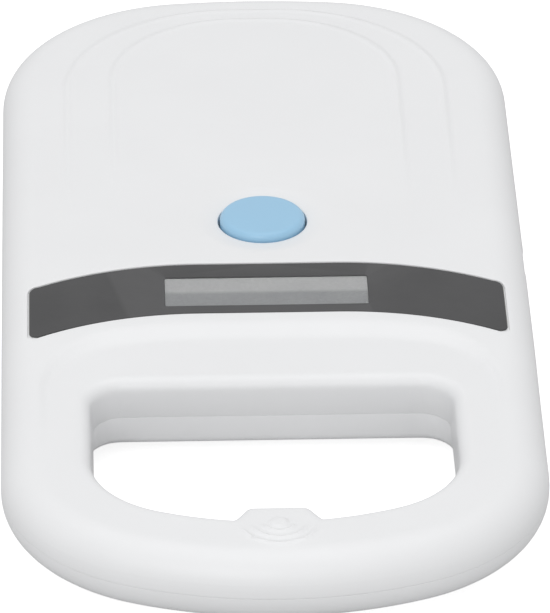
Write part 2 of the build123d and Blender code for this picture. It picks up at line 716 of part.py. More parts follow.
def coil_leads():
    """Two wires from the winding down to pads on the board."""
    z, y = (FORMER_Z[0] + FORMER_Z[1]) / 2, LOOP_FOOT_Y + COIL_CLEARANCE
    pad_z = BOARD_TOP + COIL_LEAD_RADIUS
    outer_y, inner_y = BOARD_Y[1] + COIL_PAD_REACH[0], BOARD_Y[1] - COIL_PAD_REACH[1]
    leads = []
    for x in (-COIL_LEAD_X, COIL_LEAD_X):
        route = FilletPolyline((x, y, z), (x, y - COIL_LEAD_RUN, z), (x, outer_y, pad_z),
                               (x, inner_y, pad_z), radius=COIL_LEAD_BEND)
        leads.append(wire_along(route, COIL_LEAD_RADIUS))
    return Part() + leads


# ---------------------------------------------------------------- fasteners

def pan_screw(radius, head, x, y, seat, tip, up):
    """Screw with its head at the seat plane; up is the direction from tip to head."""
    head_radius, head_height = head
    shank = rod(radius, x, y, min(seat, tip), max(seat, tip))
    top = seat + up * head_height
    cap = rod(head_radius, x, y, min(seat, top), max(seat, top))
    rim = cap.edges().sort_by(Axis.Z)[-1 if up > 0 else 0]
    cap = fillet(rim, head_height * 0.4)
    reach = head_radius * 0.9
    slot_foot = min(top, top - up * head_height) + up * head_height / 2
    cross = slab((reach, SCREW_SLOT, head_height), x, y, slot_foot)
    cross += slab((SCREW_SLOT, reach, head_height), x, y, slot_foot)
    return shank + (cap - cross)


def cover_screws():
    """Eight screws up through the lower cover."""
    return Part() + [pan_screw(COVER_SCREW_RADIUS, COVER_SCREW_HEAD, x, y, seat, seat + length, -1)
                     for seat, length, places in screw_sets() for x, y in places]


def board_screws():
    """Four screws down through the board."""
    tip = BOARD_TOP - BOARD_SCREW_LENGTH
    return Part() + [pan_screw(BOARD_SCREW_RADIUS, BOARD_SCREW_HEAD, x, y, BOARD_TOP, tip, 1)
                     for x, y in both_sides(BOARD_SCREWS)]


def main():
    os.makedirs("parts", exist_ok=True)
    form, space = outer_form(), cavity()
    parts = {"upper_cover": upper_cover(form, space), "lower_cover": lower_cover(form, space)}
    simple = (display_bezel, bezel_tape, display_window, lcd_glass, lcd_backlight, lcd_frame,
              zebra_strip, scan_button, switch_body, switch_plunger, main_board, reader_chip,
              microcontroller, crystal, capacitors, buzzer, usb_socket, battery_cell, battery_pads,
              battery_socket, battery_plug, battery_lead, antenna_former, antenna_coil, coil_leads,
              cover_screws, board_screws)
    parts.update({make.__name__: make() for make in simple})
    for name, shape in parts.items():
        export_step(shape, f"parts/{name}.step")
    return parts


main()
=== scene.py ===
"""Looks of the handheld microchip reader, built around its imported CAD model.

Lengths in the shape code are millimetres in the model's frame; meshes are written in metres.
"""
import json
import math

import bpy
import numpy as np
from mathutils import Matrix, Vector
from mathutils.geometry import delaunay_2d_cdt


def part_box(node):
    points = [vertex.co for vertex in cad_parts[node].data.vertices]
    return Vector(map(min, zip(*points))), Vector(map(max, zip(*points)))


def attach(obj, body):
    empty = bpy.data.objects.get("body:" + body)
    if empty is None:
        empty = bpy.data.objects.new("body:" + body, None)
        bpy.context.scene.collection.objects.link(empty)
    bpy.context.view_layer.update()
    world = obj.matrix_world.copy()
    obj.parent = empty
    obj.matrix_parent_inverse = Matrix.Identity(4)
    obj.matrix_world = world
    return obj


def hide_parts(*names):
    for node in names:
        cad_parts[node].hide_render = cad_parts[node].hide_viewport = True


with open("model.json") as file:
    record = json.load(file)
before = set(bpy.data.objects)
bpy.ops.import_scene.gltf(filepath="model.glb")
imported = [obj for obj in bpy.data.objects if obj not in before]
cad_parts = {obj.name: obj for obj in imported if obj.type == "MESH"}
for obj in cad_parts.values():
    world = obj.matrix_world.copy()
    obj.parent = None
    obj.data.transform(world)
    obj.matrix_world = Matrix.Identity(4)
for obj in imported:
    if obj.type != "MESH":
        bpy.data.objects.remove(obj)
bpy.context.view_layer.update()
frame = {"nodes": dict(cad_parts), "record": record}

MM = 0.001


def box_mm(node):
    """Lowest and highest corner of a CAD node in millimetres."""
    low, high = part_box(node)
    return np.array(low) / MM, np.array(high) / MM


UPPER_LOW, _ = box_mm("upper_cover")
BAND_LOW, BAND_HIGH = box_mm("display_bezel")
WINDOW_LOW, WINDOW_HIGH = box_mm("display_window")
BUTTON_LOW, BUTTON_HIGH = box_mm("scan_button")
USB_LOW, USB_HIGH = box_mm("usb_socket")
FRAME_LOW, FRAME_HIGH = box_mm("lcd_frame")
_, PLUNGER_HIGH = box_mm("switch_plunger")

# Housing
HALF_WIDTH = 38.0
HALF_LENGTH = 83.0
SPLIT = UPPER_LOW[2]
HEAD_TOP = 14.5
RING_TOP = 13.3
RING_UNDERSIDE = 3.0
FAR_END_RADIUS, FAR_CORNER_RADIUS = 112.0, 28.8
NEAR_END_RADIUS, NEAR_CORNER_RADIUS = 55.6, 27.5
TOP_FILLET = 5.2
LOW_FILLET = 4.7
SHELL = 1.4              # thickness given to the two shells
INNER_CLEARANCE = 0.8    # least depth of a shell's inner face below its outer one
PARTING_EDGE = 0.05      # rounding of the shells' rims, which draws the parting line
PARTING_GAP = 0.01
RAMP_Y = (-33.5, -26.0)
RIM_Y = (-36.0, -18.0)    # the rim beside the grip sinks here, and its last part more slowly
RIM_SLOW_Y = (-60.0, -24.0)
RIM_SLOW_DROP = 0.5

# Handle
BAR = 12.9
HOLE_FAR_Y = -34.5
HOLE_CORNER = 4.5
HOLE_TOP_FILLET = 1.9
HOLE_LOW_FILLET = 1.5
UPPER_DRAFT = math.tan(math.radians(5.5))
LOWER_DRAFT = math.tan(math.radians(6.0))
TAB_Y = -66.6
TAB_BASE = 6.4
TAB_FLANK = 1.9
TAB_SOFTNESS = 0.22
TAB_NARROWING = 0.49     # the tab's flanks close in by this share as the hole grows
RECESS_Y = -20.9         # middle of the slope from the head down to the grip
RECESS_SLOPE = 4.0
RECESS_INSET = 5.9
RECESS_SIDE_SLOPE = 1.4
RECESS_CORNER = 9.0
RIPPLE_Y = -72.1
RIPPLE_RADII = (2.2, 3.8, 5.3)
RIPPLE_HEIGHT = 0.28
RIPPLE_WIDTH = 0.50
RIPPLE_DISC = 1.2

# Head relief: half width, top y, corner radius of each arch
ARCHES = ((29.3, 76.5, 26.0), (22.4, 73.1, 20.0))
ARCH_FADE = (8.0, 44.0)
ARCH_STEP = 0.22
ARCH_BEAD = 0.13
ARCH_WIDTH = 1.1

# Display band pocket
BAND_FLAT = 10.0
BAND_RADIUS = 46.0
BAND_TOP_Y = -2.65
BAND_BOTTOM_Y = -17.05
BAND_HALF = 34.15
BAND_CORNER = 1.3
BAND_END_LEAN = 0.30     # fall of the band's corners along its curve, as a share of the corner radius
POCKET_FLOOR = BAND_LOW[2] - 0.1
POCKET_EDGE = 0.15
FILM_SIDE_GAP = BAND_HALF - BAND_HIGH[0]
FILM_EDGE = 0.06
PANE_GAP = 0.03
PANE_EDGE = 0.05
PANE_CORNER = 0.35
WINDOW_CHAMFER = 0.1
WINDOW_OPENING = (WINDOW_LOW[:2] - 0.05, WINDOW_HIGH[:2] + 0.05)
FRAME_GAP = 0.3          # clearance of the pocket's opening round the display's frame
FRAME_CORNER = 0.5
# painted light and shade: the display's far half is painted lighter and its near half darker, with this
# border between them
DISPLAY_SPLIT_Y = -10.6  # border between the display's lighter and darker halves
DISPLAY_BLUR = 0.45

# Button
BUTTON_Y = (BUTTON_LOW[1] + BUTTON_HIGH[1]) / 2
BUTTON_RADIUS = 6.2
BUTTON_HOLE = 6.5
BUTTON_HOLE_EDGE = 0.15
COLLAR_Z = 11.0
DISH_RADIUS = 9.8
DISH_DEPTH = 0.32
BUTTON_EDGE = 0.95
BUTTON_DOME = 0.12
BUTTON_WALL = 1.2
BUTTON_ROOF = 1.3
BUTTON_PIN = 1.4         # radius of the pin that presses the switch
PIN_FOOT = PLUNGER_HIGH[2]
FLANGE_HEIGHT = 0.7
FLANGE_EDGE = 0.1

# Charging socket's slot in the side wall
USB_SLOT = (USB_LOW[1] - 0.5, USB_HIGH[1] + 0.5)
USB_SLOT_TOP = SPLIT + 3.1

# Screws: x, y, seat height
SCREWS = ((25.8, 70.3, 2.6), (33.0, 25.8, 2.6), (32.0, -29.5, 5.0), (25.7, -68.7, 5.0))
COUNTERBORE = 2.3
SCREW_HOLE = 1.2
COUNTERBORE_EDGE = 0.2
SCREW_HOLE_DEPTH = 2.0

# Meshing
CAP_SLOPE = math.radians(30.0)   # the caps reach down the edge fillets to this slope
SHARP_ANGLE = math.radians(35.0)
GRID = 0.62
FINE_GRID = 0.3
LOW_GRID = 1.3
RAMP_GRID = 0.6
GRIP_ROWS_Y = -14        # rows of points follow the side of the grip recess from here down
RIPPLE_PATCH = ((-6.5, -78.0), (6.5, -69.6))
BUTTON_SIDES = 96


# ---------------------------------------------------------------- curves in plan

def smooth(t):
    """Smooth step of t from 0 to 1."""
    t = np.clip(t, 0.0, 1.0)
    return t * t * (3 - 2 * t)


def soft_clamp(u, width):
    """Clamp of u to 0..1 with rounded corners."""
    def ramp(v):
        return np.where(v < -width, 0.0, np.where(v > width, v, (v + width) ** 2 / (4 * width)))
    return ramp(u) - ramp(u - 1)


def arc(centre, radius, start, stop, count):
    """Points and outward normals along an arc; angles are clockwise from +Y."""
    angle = np.linspace(start, stop, count, endpoint=False)
    normal = np.stack([np.sin(angle), np.cos(angle)], -1)
    return np.array(centre) + radius * normal, normal


def straight(x, y0, y1, count, nx):
    """Points and normals along a side parallel to Y."""
    y = np.linspace(y0, y1, count, endpoint=False)
    points = np.stack([np.full(count, x), y], -1)
    return points, np.tile([nx, 0.0], (count, 1))


def end_geometry(end_radius, corner_radius):
    """Lean of the corner joint, centre of the end arc and centre of the corner arc."""
    lean = math.asin((HALF_WIDTH - corner_radius) / (end_radius - corner_radius))
    end_y = HALF_LENGTH - end_radius
    corner = (HALF_WIDTH - corner_radius, end_y + (end_radius - corner_radius) * math.cos(lean))
    return lean, end_y, corner


def outline_samples():
    """Points and outward normals once round the outline, clockwise from the middle of the far end."""
    quarter = math.pi / 2
    lean_f, end_f, corner_f = end_geometry(FAR_END_RADIUS, FAR_CORNER_RADIUS)
    lean_n, end_n, corner_n = end_geometry(NEAR_END_RADIUS, NEAR_CORNER_RADIUS)
    cuts = (corner_f[1], USB_SLOT[1], USB_SLOT[0], -corner_n[1])
    pieces = [arc((0, end_f), FAR_END_RADIUS, 0, lean_f, 12),
              arc(corner_f, FAR_CORNER_RADIUS, lean_f, quarter, 44)]
    for y0, y1 in zip(cuts[:-1], cuts[1:]):
        pieces.append(straight(HALF_WIDTH, y0, y1, max(4, round(abs(y1 - y0))), 1.0))
    low_corner = (corner_n[0], -corner_n[1])
    pieces += [arc(low_corner, NEAR_CORNER_RADIUS, quarter, math.pi - lean_n, 40),
               arc((0, -end_n), NEAR_END_RADIUS, math.pi - lean_n, math.pi, 24)]
    right_p = np.concatenate([p for p, _ in pieces])
    right_n = np.concatenate([n for _, n in pieces])
    tip_p, tip_n = np.array([[0.0, -HALF_LENGTH]]), np.array([[0.0, -1.0]])
    flip = np.array([-1.0, 1.0])
    points = np.concatenate([right_p, tip_p, (right_p * flip)[:0:-1]])
    normals = np.concatenate([right_n, tip_n, (right_n * flip)[:0:-1]])
    return points, normals


OUT_POINTS, OUT_NORMALS = outline_samples()


def outer_loop(inset):
    return OUT_POINTS - np.asarray(inset).reshape(-1, 1) * OUT_NORMALS


def hole_loop(grow):
    """Points round the finger hole, grown by a distance, with the tab."""
    lean, end_y, corner = end_geometry(NEAR_END_RADIUS, NEAR_CORNER_RADIUS)
    end_radius, corner_radius = NEAR_END_RADIUS - BAR + grow, NEAR_CORNER_RADIUS - BAR + grow
    half = HALF_WIDTH - BAR + grow
    far_y = HOLE_FAR_Y + grow
    reach = end_radius * math.sin(lean)
    share = np.linspace(-1, 1, 141)
    x = reach * share
    near = -end_y - np.sqrt(end_radius ** 2 - x ** 2)
    tab = soft_clamp((TAB_BASE - TAB_NARROWING * grow - np.abs(x)) / TAB_FLANK, TAB_SOFTNESS)
    y = near + tab * (TAB_Y - grow - near)
    bottom = np.stack([x, y], -1)
    quarter = math.pi / 2
    right_low, _ = arc((corner[0], -corner[1]), corner_radius, math.pi - lean, quarter, 40)
    side_top = HOLE_FAR_Y - HOLE_CORNER
    side, _ = straight(half, -corner[1], side_top, 16, 1.0)
    centre = (HALF_WIDTH - BAR - HOLE_CORNER, side_top)
    right_high, _ = arc(centre, HOLE_CORNER + grow, quarter, 0, 16)
    top_x = np.linspace(centre[0], 0, 24, endpoint=False)
    top = np.stack([top_x, np.full(24, far_y)], -1)
    right = np.concatenate([right_low[1:], side, right_high, top])
    middle = np.array([[0.0, far_y]])
    left = (right * np.array([-1.0, 1.0]))[::-1]
    return np.concatenate([bottom, right, middle, left])


def band_curve(x):
    """Y of the band's edge line relative to its middle."""
    run = np.clip(np.abs(x) - BAND_FLAT, 0, None)
    return np.sqrt(BAND_RADIUS ** 2 - run ** 2) - BAND_RADIUS


def band_loop(inset, corner):
    """Outline of the band, inset all round."""
    half = BAND_HALF - inset
    x = np.linspace(-half + corner, half - corner, 91)
    top = np.stack([x, BAND_TOP_Y - inset + band_curve(x)], -1)
    bottom = np.stack([x, BAND_BOTTOM_Y + inset + band_curve(x)], -1)
    turn = np.linspace(0, math.pi / 2, 7)[1:]

    def round_off(end, sign):
        """Quarter turn from a long edge to the band's end at +X; sign is +1 for the far edge."""
        fall = sign * corner * (1 - np.cos(turn)) + BAND_END_LEAN * corner * np.sin(turn) ** 2
        return np.stack([end[0] + corner * np.sin(turn), end[1] - fall], -1)

    high = round_off(top[-1], 1)
    low = round_off(bottom[-1], -1)
    side_y = np.linspace(high[-1, 1], low[-1, 1], 14)[1:-1]
    side = np.stack([np.full(len(side_y), half), side_y], -1)
    right = np.concatenate([high, side, low[::-1]])
    left = (right * np.array([-1.0, 1.0]))[::-1]
    return np.concatenate([top, right, bottom[::-1], left])


def circle(x, y, radius, count):
    angle = np.linspace(0, 2 * math.pi, count, endpoint=False)
    return np.stack([x + radius * np.cos(angle), y + radius * np.sin(angle)], -1)


def rectangle(low, high, corner, count=4):
    """Rectangle with rounded corners."""
    centres = [(high[0] - corner, high[1] - corner), (low[0] + corner, high[1] - corner),
               (low[0] + corner, low[1] + corner), (high[0] - corner, low[1] + corner)]
    points = []
    for i, (cx, cy) in enumerate(centres):
        angle = np.linspace(i * math.pi / 2, (i + 1) * math.pi / 2, count)
        points.append(np.stack([cx + corner * np.cos(angle), cy + corner * np.sin(angle)], -1))
    return np.concatenate(points)


# ---------------------------------------------------------------- distances and heights

def inset_of(x, y):
    """Distance inwards from the outline."""
    x = np.abs(x)
    distance = HALF_WIDTH - x
    for sign, end_radius, corner_radius in ((1, FAR_END_RADIUS, FAR_CORNER_RADIUS),
                                            (-1, NEAR_END_RADIUS, NEAR_CORNER_RADIUS)):
        lean, end_y, corner = end_geometry(end_radius, corner_radius)
        v = y * sign
        on_end = np.arctan2(x, v - end_y) < lean
        at_corner = v > corner[1]
        corner_distance = corner_radius - np.hypot(x - corner[0], v - corner[1])
        end_distance = end_radius - np.hypot(x, v - end_y)
        distance = np.where(at_corner, np.where(on_end, end_distance, corner_distance), distance)
    return distance


def arch_distance(x, y, shape):
    """Distance inwards from an arch; the legs run on towards the handle."""
    half, top_y, corner = shape
    dx = np.abs(x) - (half - corner)
    dy = y - (top_y - corner)
    outside = np.hypot(np.clip(dx, 0, None), np.clip(dy, 0, None))
    return corner - outside - np.minimum(np.maximum(dx, dy), 0)


def arch_relief(x, y):
    """Raised terraces on the head, each with a fine bead along its edge."""
    fade = smooth((y - ARCH_FADE[0]) / (ARCH_FADE[1] - ARCH_FADE[0]))
    relief = 0.0
    for shape in ARCHES:
        d = arch_distance(x, y, shape)
        bead = np.exp(-((d - ARCH_WIDTH) / (0.45 * ARCH_WIDTH)) ** 2)
        relief = relief + ARCH_STEP * smooth(d / ARCH_WIDTH) + ARCH_BEAD * bead
    return fade * relief - fade * ARCH_STEP


def ripple_relief(x, y):
    """Disc and part rings on the tab."""
    r = np.hypot(x, y - RIPPLE_Y)
    angle = np.abs(np.arctan2(x, RIPPLE_Y - y))
    sector = smooth((1.5 - angle) / 0.5)
    rings = sum(np.exp(-((r - radius) / (0.6 * RIPPLE_WIDTH)) ** 2) for radius in RIPPLE_RADII)
    return RIPPLE_HEIGHT * (sector * rings + smooth((RIPPLE_DISC + 0.2 - r) / 0.4))


def edge_drop(inset, radius):
    """Drop of an edge fillet below the face, at a distance from the outline."""
    run = np.clip(radius - inset, 0, radius)
    return radius - np.sqrt(radius ** 2 - run ** 2)


def grip_share(x, y, inset):
    """How far a point lies down the slope into the grip recess, from 0 to 1."""
    from_top = RECESS_CORNER - (RECESS_Y + band_curve(x) - y)
    from_side = RECESS_CORNER - (inset - RECESS_INSET)
    a, b = np.clip(from_top, 0, None), np.clip(from_side, 0, None)
    in_corner = (from_top > 0) & (from_side > 0)
    reach = np.where(in_corner, np.hypot(a, b), np.maximum(from_top, from_side))
    depth = RECESS_CORNER - reach
    top_weight = (a ** 2 + 1e-6) / (a ** 2 + b ** 2 + 1e-6)
    width = RECESS_SIDE_SLOPE + (RECESS_SLOPE - RECESS_SIDE_SLOPE) * top_weight
    return smooth(depth / width + 0.5)


def top_height(x, y):
    """Height of the upper cover's outer face."""
    inset = inset_of(x, y)
    fall = (RIM_Y[1] - y) / (RIM_Y[1] - RIM_Y[0])
    slow_fall = (RIM_SLOW_Y[1] - y) / (RIM_SLOW_Y[1] - RIM_SLOW_Y[0])
    quick_drop = HEAD_TOP - RING_TOP - RIM_SLOW_DROP
    rim = HEAD_TOP - quick_drop * smooth(fall) - RIM_SLOW_DROP * smooth(slow_fall)
    height = rim + (RING_TOP - rim) * grip_share(x, y, inset)
    dish = np.hypot(x, y - BUTTON_Y)
    height = height - DISH_DEPTH * smooth((DISH_RADIUS - dish) / (DISH_RADIUS - BUTTON_HOLE))
    height = height + arch_relief(x, y) + ripple_relief(x, y)
    return height - edge_drop(inset, TOP_FILLET)


def low_height(x, y):
    """Height of the lower cover's outer face."""
    base = RING_UNDERSIDE * smooth((RAMP_Y[1] - y) / (RAMP_Y[1] - RAMP_Y[0]))
    return base + edge_drop(inset_of(x, y), LOW_FILLET)


# ---------------------------------------------------------------- mesh building

class Surface:
    """Vertices and faces of one piece, in millimetres, built from rings and caps."""

    def __init__(self):
        self.points, self.faces = [], []

    def ring(self, loop, z):
        start = len(self.points)
        z = np.broadcast_to(z, len(loop))
        self.points.extend((p[0], p[1], h) for p, h in zip(loop, z))
        return np.arange(start, start + len(loop))

    def bridge(self, upper, lower, flip=False, skip=None):
        """Quads between two rings of the same length."""
        following = np.roll(np.arange(len(upper)), -1)
        for i, j in enumerate(following):
            if skip is not None and skip[i]:
                continue
            quad = (upper[i], upper[j], lower[j], lower[i])
            self.faces.append(quad[::-1] if flip else quad)

    def sweep(self, last, loops, flip=False, skip=None):
        """Bridges on from a ring through (loop, z) pairs and returns the last ring."""
        for loop, z in loops:
            after = self.ring(loop, z)
            self.bridge(last, after, flip, skip)
            last = after
        return last

    def cap(self, rings, inner=None, height=None, flip=False):
        """Triangulated face between boundary rings, the first the outer one, through inner points."""
        inner = np.zeros((0, 2)) if inner is None else inner
        plan = np.array(self.points)[:, :2]
        index = np.concatenate(rings)
        flat = [Vector(p) for p in plan[index]] + [Vector(p) for p in inner]
        edges, start = [], 0
        for ring in rings:
            count = len(ring)
            edges += [(start + i, start + (i + 1) % count) for i in range(count)]
            start += count
        verts, _, tris, origin, _, _ = delaunay_2d_cdt(flat, edges, [], 0, 1e-7)
        keep = inside(np.array([np.mean([verts[i] for i in t], axis=0) for t in tris]),
                      [plan[r] for r in rings])
        base = len(self.points)
        z = height(inner[:, 0], inner[:, 1]) if len(inner) else []
        self.points.extend((p[0], p[1], h) for p, h in zip(inner, z))
        number = [index[o[0]] if o[0] < len(index) else base + o[0] - len(index) for o in origin]
        for use, tri in zip(keep, tris):
            if use:
                face = tuple(number[i] for i in tri)
                self.faces.append(face[::-1] if flip else face)

    def mesh(self, name):
        mesh = bpy.data.meshes.new(name)
        mesh.from_pydata([Vector(p) * MM for p in self.points], [], [tuple(map(int, f)) for f in self.faces])
        mesh.validate()
        return mesh


def inside(points, loops):
    """Whether each point is inside the first loop and outside the others."""
    result = crossing(points, loops[0])
    for loop in loops[1:]:
        result &= ~crossing(points, loop)
    return result


def crossing(points, loop):
    """Even-odd test of points against one closed loop."""
    odd = np.zeros(len(points), bool)
    a, b = loop, np.roll(loop, -1, axis=0)
    for (x0, y0), (x1, y1) in zip(a, b):
        if y0 == y1:
            continue
        spans = (y0 > points[:, 1]) != (y1 > points[:, 1])
        x = x0 + (points[:, 1] - y0) * (x1 - x0) / (y1 - y0)
        odd ^= spans & (points[:, 0] < x)
    return odd


def grid(low, high, step):
    """Triangular lattice of points."""
    rows = []
    for i, y in enumerate(np.arange(low[1], high[1], step * math.sqrt(3) / 2)):
        x = np.arange(low[0] + (i % 2) * step / 2, high[0], step)
        rows.append(np.stack([x, np.full(len(x), y)], -1))
    return np.concatenate(rows)


def clear_of(points, loop, gap):
    """Points further than gap from a loop's vertices."""
    keep = np.ones(len(points), bool)
    low, high = loop.min(0) - gap, loop.max(0) + gap
    near = np.all((points > low) & (points < high), axis=1)
    chosen = np.nonzero(near)[0]
    for start in range(0, len(chosen), 4000):
        part = chosen[start:start + 4000]
        away = points[part, None] - loop[None]
        keep[part] = np.min(np.hypot(away[..., 0], away[..., 1]), axis=1) > gap
    return points[keep]


def fillet_steps(radius, count, start=0.0):
    """(inset, drop) pairs down an edge fillet to the upright, from a slope angle, without the first."""
    angles = np.linspace(start, math.pi / 2, count + 1)[1:]
    return [(radius * (1 - math.sin(a)), radius * (1 - math.cos(a))) for a in angles]


def add_object(name, mesh, node, body):
    """Puts a finished mesh into the scene in place of a CAD node."""
    piece = bpy.data.objects.new(name, mesh)
    bpy.context.scene.collection.objects.link(piece)
    mesh.shade_smooth()
    mesh.set_sharp_from_angle(angle=SHARP_ANGLE)
    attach(piece, body)
    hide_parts(node)
    return piece


def thicken(mesh, height, sign):
    """Closes an open shell with an inner wall that stays clear of the outer face."""
    count = len(mesh.vertices)
    piece = bpy.data.objects.new("raw_shell", mesh)
    bpy.context.scene.collection.objects.link(piece)
    solid = piece.modifiers.new("thickness", "SOLIDIFY")
    solid.thickness, solid.offset = SHELL * MM, -1.0
    bake_modifiers(piece)
    made = piece.data
    bpy.data.objects.remove(piece)
    spots = np.empty(len(made.vertices) * 3)
    made.vertices.foreach_get("co", spots)
    spots = spots.reshape(-1, 3)
    inner = spots[count:] / MM
    limit = height(inner[:, 0], inner[:, 1]) - sign * INNER_CLEARANCE
    clamped = np.minimum(inner[:, 2] * sign, limit * sign) * sign
    inner[:, 2] = np.where(inset_of(inner[:, 0], inner[:, 1]) > SHELL - 0.1, clamped, inner[:, 2])
    spots[count:] = inner * MM
    made.vertices.foreach_set("co", spots.ravel())
    made.update()
    return made


def bake_modifiers(piece):
    """Applies the piece's modifiers to its mesh."""
    graph = bpy.context.evaluated_depsgraph_get()
    made = bpy.data.meshes.new_from_object(piece.evaluated_get(graph))
    made.name = piece.data.name
    piece.modifiers.clear()
    piece.data = made


# ---------------------------------------------------------------- shells

def shell_rows(loops):
    """Extra cap points in rows along the outline at the given insets."""
    return np.concatenate([outer_loop(inset) for inset in loops])


def make_upper_shell():
    s = Surface()
    cap_inset = TOP_FILLET * (1 - math.sin(CAP_SLOPE))
    loop = outer_loop(cap_inset)
    crest = top_height(*outer_loop(TOP_FILLET).T)
    outer = s.ring(loop, top_height(*loop.T))
    usb_angle = math.acos(1 - (HEAD_TOP - USB_SLOT_TOP) / TOP_FILLET)
    slot = (OUT_POINTS[:, 0] > HALF_WIDTH - 0.01) & (OUT_POINTS[:, 1] <= USB_SLOT[1] + 1e-6) & (
        OUT_POINTS[:, 1] > USB_SLOT[0] + 1e-6)
    last = outer
    for angle in sorted([*np.linspace(CAP_SLOPE, math.pi / 2, 11)[1:], usb_angle]):
        inset, drop = TOP_FILLET * (1 - math.sin(angle)), TOP_FILLET * (1 - math.cos(angle))
        after = s.ring(outer_loop(inset), crest - drop)
        s.bridge(last, after, skip=slot if angle > usb_angle + 1e-6 else None)
        last = after
    s.sweep(last, [(outer_loop(inset), z) for inset, z in rim_steps(1)], skip=slot)

    grow = (RING_TOP - HOLE_TOP_FILLET - SPLIT) * UPPER_DRAFT
    hole = hole_loop(grow + HOLE_TOP_FILLET)
    hole_z = top_height(*hole.T)
    hole_ring = s.ring(hole, hole_z)
    last = s.sweep(hole_ring, [(hole_loop(grow + inset), hole_z - drop)
                               for inset, drop in fillet_steps(HOLE_TOP_FILLET, 8)])
    s.sweep(last, [(hole_loop(inset), z) for inset, z in rim_steps(1)])

    pocket = band_loop(-POCKET_EDGE, BAND_CORNER + POCKET_EDGE)
    pocket_z = top_height(*pocket.T)
    pocket_ring = s.ring(pocket, pocket_z)
    steps = [(band_loop(-inset, BAND_CORNER + inset), pocket_z - drop)
             for inset, drop in fillet_steps(POCKET_EDGE, 4)]
    steps.append((band_loop(0, BAND_CORNER), POCKET_FLOOR))
    floor_ring = s.sweep(pocket_ring, steps, flip=True)
    opening = rectangle(FRAME_LOW[:2] - FRAME_GAP, FRAME_HIGH[:2] + FRAME_GAP, FRAME_CORNER)
    s.cap([floor_ring, s.ring(opening, POCKET_FLOOR)])

    button = circle(0, BUTTON_Y, BUTTON_HOLE + BUTTON_HOLE_EDGE, BUTTON_SIDES)
    button_z = top_height(*button.T)
    button_ring = s.ring(button, button_z)
    steps = [(circle(0, BUTTON_Y, BUTTON_HOLE + inset, BUTTON_SIDES), button_z - drop)
             for inset, drop in fillet_steps(BUTTON_HOLE_EDGE, 4)]
    s.sweep(button_ring, [*steps, (circle(0, BUTTON_Y, BUTTON_HOLE, BUTTON_SIDES), COLLAR_Z)])

    points = upper_cap_points([loop, hole, pocket, button], cap_inset)
    s.cap([outer, hole_ring, pocket_ring, button_ring], points, top_height)
    return thicken(s.mesh("upper_shell"), top_height, 1)


def rim_steps(sign):
    """(inset, z) pairs round the rim of a shell at the parting plane; sign is +1 on the upper one."""
    r = PARTING_EDGE
    gap = PARTING_GAP / 2
    return [(0.0, SPLIT + sign * (r + gap)), (0.3 * r, SPLIT + sign * (0.3 * r + gap)),
            (r, SPLIT + sign * gap)]


def upper_cap_points(bounds, cap_inset):
    """Points inside the top face: rows along edges and relief, and lattices elsewhere."""
    _, hole, pocket, button = bounds
    rows = shell_rows((3.1, 3.6, 4.1, 4.6, 5.2))
    side_rows = shell_rows(np.arange(5.5, 7.6, 0.3))
    rows = np.concatenate([rows, side_rows[side_rows[:, 1] < GRIP_ROWS_Y]])
    hole_rows = np.concatenate([hole_loop(g) for g in (2.75, 3.4)])
    dish_rows = np.concatenate([circle(0, BUTTON_Y, r, 110) for r in np.arange(7.2, 10.4, 0.4)])
    arch_rows = []
    for half, top_y, corner in ARCHES:
        for d in np.arange(-0.4, 2.3, 0.2):
            arch_rows.append(arch_line(half - d, top_y - d, corner - d))
    arch_rows = np.concatenate(arch_rows)
    arch_mid = np.concatenate([arch_line(half - d, top_y - d, corner - d)
                               for half, top_y, corner in ARCHES for d in (0.0, 0.6, 1.2, 1.8)])
    fine = grid(*RIPPLE_PATCH, FINE_GRID)
    fine = fine[inset_of(*fine.T) > 7.0]
    fine = clear_of(fine, hole_loop(3.4), 0.35)
    coarse = grid((-HALF_WIDTH, -HALF_LENGTH), (HALF_WIDTH, HALF_LENGTH), GRID)
    coarse = coarse[inset_of(*coarse.T) > np.where(coarse[:, 1] < GRIP_ROWS_Y, 7.8, 5.6)]
    coarse = clear_of(coarse, arch_mid, 1.2)
    for loop in (hole_loop(3.4), circle(0, BUTTON_Y, 10.0, 110)):
        coarse = clear_of(coarse, loop, 0.45)
    coarse = coarse[np.hypot(coarse[:, 0], coarse[:, 1] - BUTTON_Y) > 10.4]
    coarse = coarse[~((np.abs(coarse[:, 0]) < 6.9) & (coarse[:, 1] < -69.2) & (coarse[:, 1] > -78.4))]
    arch_rows = arch_rows[inset_of(*arch_rows.T) > 5.3]
    points = np.concatenate([rows, hole_rows, dish_rows, arch_rows, fine, coarse])
    points = points[inside(points, bounds)]
    points = points[inset_of(*points.T) > cap_inset + 0.2]
    for loop, gap in ((hole, 0.3), (pocket, 0.3), (button, 0.25)):
        points = clear_of(points, loop, gap)
    return thin(points)


def arch_line(half, top_y, corner):
    """Points along an arch, from one foot to the other."""
    leg = np.arange(ARCH_FADE[0] - 1, top_y - corner, 0.9)
    right = np.stack([np.full(len(leg), half), leg], -1)
    turn = np.linspace(math.pi / 2, 0, round(corner * 2.6))
    bend = np.stack([half - corner + corner * np.sin(turn), top_y - corner + corner * np.cos(turn)], -1)
    flat_x = np.arange(half - corner - 0.7, 0, -0.8)
    flat = np.stack([flat_x, np.full(len(flat_x), top_y)], -1)
    side = np.concatenate([right, bend, flat])
    return np.concatenate([side, side * np.array([-1.0, 1.0])])


def thin(points, gap=0.09):
    """Drops points that nearly coincide with an earlier one."""
    cells, kept = {}, []
    for p in points:
        key = (round(p[0] / gap), round(p[1] / gap))
        if key not in cells:
            cells[key] = True
            kept.append(p)
    return np.array(kept)


